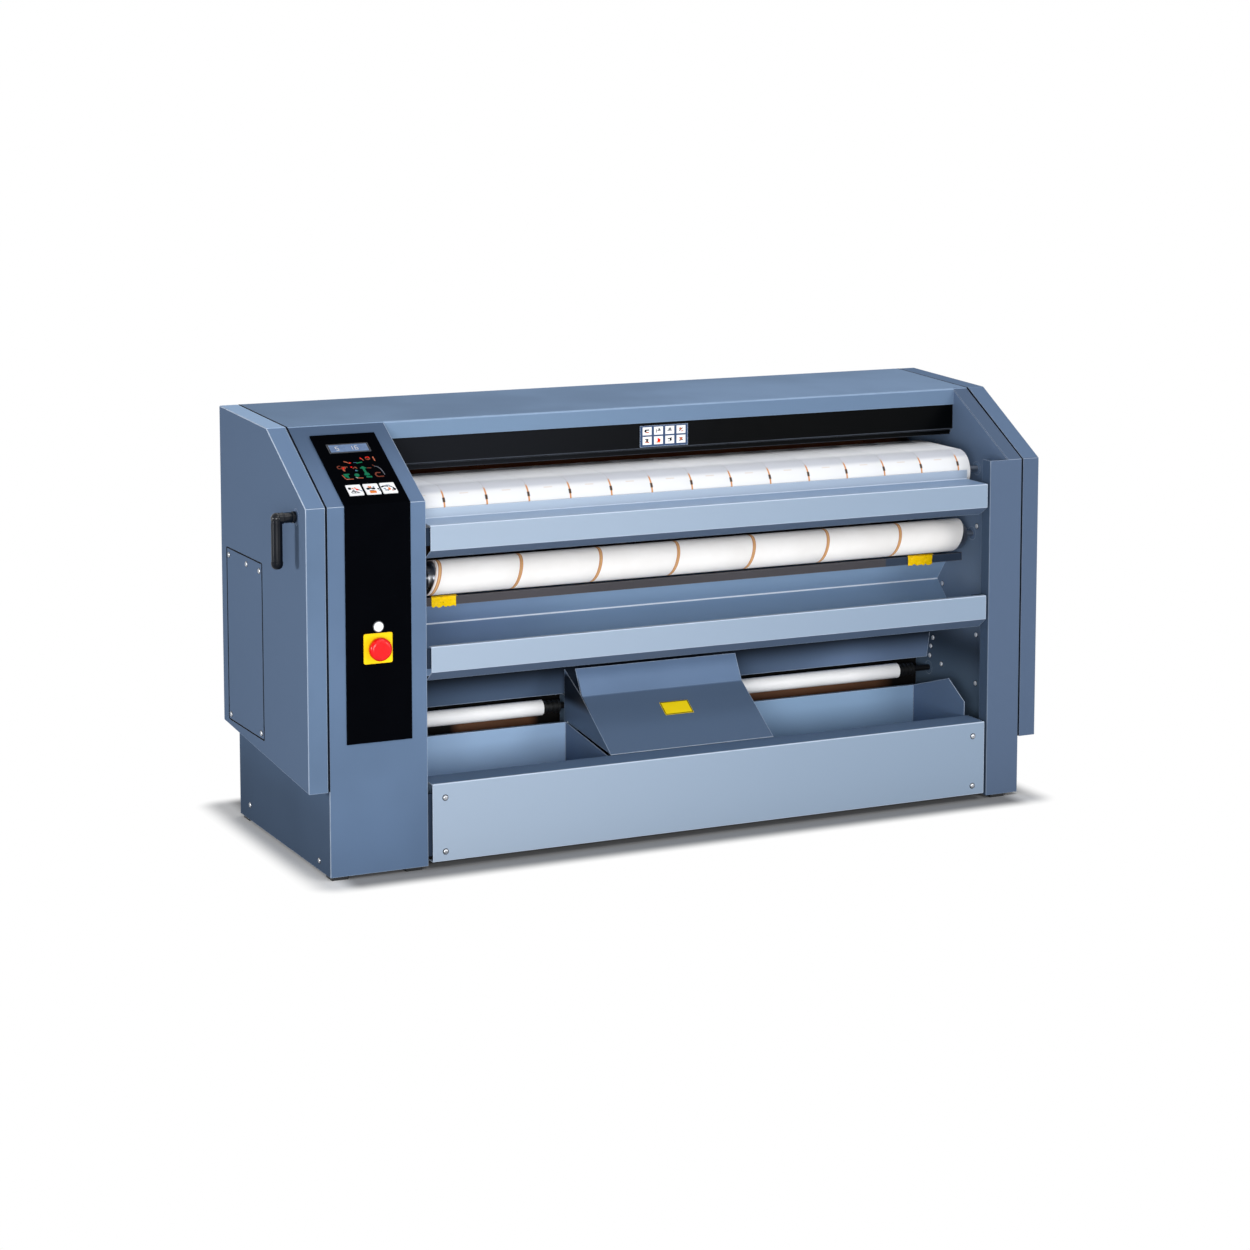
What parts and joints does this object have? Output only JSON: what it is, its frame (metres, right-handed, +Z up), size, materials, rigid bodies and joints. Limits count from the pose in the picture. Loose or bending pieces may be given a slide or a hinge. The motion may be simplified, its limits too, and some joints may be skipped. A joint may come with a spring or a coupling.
{
  "type": "flatwork ironer",
  "caption": "Floor-standing flatwork ironer with a heated cylinder, belted feed table, exit roller, linen troughs, sloped control panel and hand crank.",
  "frame": {"origin": "bottom centre of the whole machine's box, on the floor", "axes": "+X to the operator's right along the cylinder, +Y to the back, +Z up"},
  "size_m": [2.172, 0.733, 1.113],
  "materials": {
    "column_paint": "fine textured powder coat",
    "cover_paint": "fine textured powder coat",
    "hood_paint": "fine textured powder coat",
    "rear_paint": "fine textured powder coat",
    "rail_paint": "fine textured powder coat, paler blue",
    "frame_paint": "dark blue powder coat",
    "tray_paint": "satin blue powder coat",
    "chute_paint": "satin blue powder coat",
    "baffle_sheet": "dark brown",
    "black_paint": "satin black",
    "blue_plate": "satin blue",
    "black_panel": "satin black",
    "display_glass": "glossy smoked window",
    "key_plastic": "white",
    "lamp_collar": "bright ring",
    "lamp_lens": "clear white",
    "yellow_plate": "satin yellow",
    "black_plastic": "satin black",
    "red_plastic": "red",
    "crank_grip": "black, satin",
    "feed_belt": "white coated webbing",
    "ironing_belt": "pale heat-resistant felt",
    "polished_steel": "polished",
    "roller_steel": "turned",
    "roller_sleeve": "white",
    "plain_steel": "zinc plated",
    "cast_housing": "as cast, painted",
    "screw_steel": "bright zinc"
  },
  "bodies": {
    "machine": {"access_panel": "cover_paint", "centre_bracket": "frame_paint", "centre_tray": "tray_paint", "control_panel": "black_panel", "crank_bush": "black_plastic", "cross_rails": "frame_paint", "cylinder_bearings": "cast_housing", "display_window": "display_glass", "drive_chain": "plain_steel", "drive_motor": "cast_housing", "estop_base": "black_plastic", "estop_plate": "yellow_plate", "exit_chute": "chute_paint", "fascia_panel": "black_paint", "feed_bed": "plain_steel", "feed_belts": "feed_belt", "feet": "frame_paint", "front_panel": "rail_paint", "heater_bundle": "plain_steel", "hood": "hood_paint", "ironing_belts": "ironing_belt", "left_column": "column_paint", "left_side_cover": "cover_paint", "left_side_plate": "frame_paint", "left_trough": "tray_paint", "lower_front_rail": "rail_paint", "notice_plate": "yellow_plate", "pictogram_plate": "blue_plate", "pilot_lamp_collar": "lamp_collar", "pilot_lamp_lens": "lamp_lens", "rail_brackets": "frame_paint", "rear_baffle": "baffle_sheet", "rear_panel": "rear_paint", "right_column": "column_paint", "right_side_cover": "cover_paint", "right_side_plate": "frame_paint", "right_trough": "tray_paint", "roller_bushes": "black_plastic", "round_head_screws": "screw_steel", "scraper_beam": "plain_steel", "scraper_tags": "yellow_plate", "shroud": "chute_paint", "upper_front_rail": "rail_paint"},
    "cylinder": {"ironing_cylinder": "polished_steel", "cylinder_sprocket": "plain_steel"},
    "motor_shaft": {"motor_sprocket": "plain_steel"},
    "exit_roller": {"exit_roller": "roller_steel"},
    "entry_roller": {"entry_roller": "roller_steel"},
    "upper_return_roller": {"upper_return_roller": "roller_steel"},
    "lower_return_roller": {"lower_return_roller": "roller_steel"},
    "front_feed_roller": {"front_feed_roller": "roller_steel"},
    "rear_feed_roller": {"rear_feed_roller": "roller_steel"},
    "guide_rollers": {"guide_rollers": "roller_sleeve", "guide_roller_caps": "black_plastic"},
    "hand_crank": {"hand_crank": "crank_grip"},
    "finger_guard": {"finger_guard": "black_paint"},
    "estop_button": {"estop_button": "red_plastic"},
    "left_key": {"left_key": "key_plastic"},
    "middle_key": {"middle_key": "key_plastic"},
    "right_key": {"right_key": "key_plastic"}
  },
  "joints": [
    {"name": "cylinder_spin", "type": "hinge", "parent": "machine", "child": "cylinder", "pos_m": [0.14, 0.1665, 0.815], "axis": [1, 0, 0], "continuous": true},
    {"name": "motor_spin", "type": "hinge", "parent": "machine", "child": "motor_shaft", "pos_m": [-0.785, 0.0965, 0.33], "axis": [1, 0, 0], "continuous": true},
    {"name": "exit_roller_spin", "type": "hinge", "parent": "machine", "child": "exit_roller", "pos_m": [0.14, -0.1535, 0.704], "axis": [1, 0, 0], "continuous": true},
    {"name": "entry_roller_spin", "type": "hinge", "parent": "machine", "child": "entry_roller", "pos_m": [0.14, 0.1715, 0.972], "axis": [1, 0, 0], "continuous": true},
    {"name": "upper_return_spin", "type": "hinge", "parent": "machine", "child": "upper_return_roller", "pos_m": [0.14, 0.2865, 1], "axis": [1, 0, 0], "continuous": true},
    {"name": "lower_return_spin", "type": "hinge", "parent": "machine", "child": "lower_return_roller", "pos_m": [0.14, 0.2865, 0.61], "axis": [1, 0, 0], "continuous": true},
    {"name": "front_feed_spin", "type": "hinge", "parent": "machine", "child": "front_feed_roller", "pos_m": [0.14, -0.1735, 0.888], "axis": [1, 0, 0], "continuous": true},
    {"name": "rear_feed_spin", "type": "hinge", "parent": "machine", "child": "rear_feed_roller", "pos_m": [0.14, 0.0315, 0.925], "axis": [1, 0, 0], "continuous": true},
    {"name": "guide_roller_spin", "type": "hinge", "parent": "machine", "child": "guide_rollers", "pos_m": [0.14, 0.0665, 0.284], "axis": [1, 0, 0], "continuous": true},
    {"name": "crank_turn", "type": "hinge", "parent": "machine", "child": "hand_crank", "pos_m": [-1.022, -0.2655, 0.904], "axis": [1, 0, 0], "continuous": true},
    {"name": "guard_swing", "type": "hinge", "parent": "machine", "child": "finger_guard", "pos_m": [0.14, -0.0315, 0.976], "axis": [1, 0, 0], "range_deg": [0, 20]},
    {"name": "stop_press", "type": "slide", "parent": "machine", "child": "estop_button", "axis": [0, 1, 0], "range_m": [0, 0.005], "stiffness_N_per_m": 1500, "springref_m": -0.002},
    {"name": "left_key_press", "type": "slide", "parent": "machine", "child": "left_key", "axis": [0, 0.501, -0.8654], "range_m": [0, 0.0012], "stiffness_N_per_m": 800, "springref_m": -0.001},
    {"name": "middle_key_press", "type": "slide", "parent": "machine", "child": "middle_key", "axis": [0, 0.501, -0.8654], "range_m": [0, 0.0012], "stiffness_N_per_m": 800, "springref_m": -0.001},
    {"name": "right_key_press", "type": "slide", "parent": "machine", "child": "right_key", "axis": [0, 0.501, -0.8654], "range_m": [0, 0.0012], "stiffness_N_per_m": 800, "springref_m": -0.001}
  ],
  "couplings": [
    {"joint": "motor_spin", "follows": "cylinder_spin", "ratio": 2.4706},
    {"joint": "exit_roller_spin", "follows": "cylinder_spin", "ratio": -2.9059},
    {"joint": "entry_roller_spin", "follows": "cylinder_spin", "ratio": -4.7665},
    {"joint": "upper_return_spin", "follows": "cylinder_spin", "ratio": -5.8724},
    {"joint": "lower_return_spin", "follows": "cylinder_spin", "ratio": -5.8724},
    {"joint": "front_feed_spin", "follows": "cylinder_spin", "ratio": 2.27},
    {"joint": "rear_feed_spin", "follows": "cylinder_spin", "ratio": 6.7493}
  ]
}
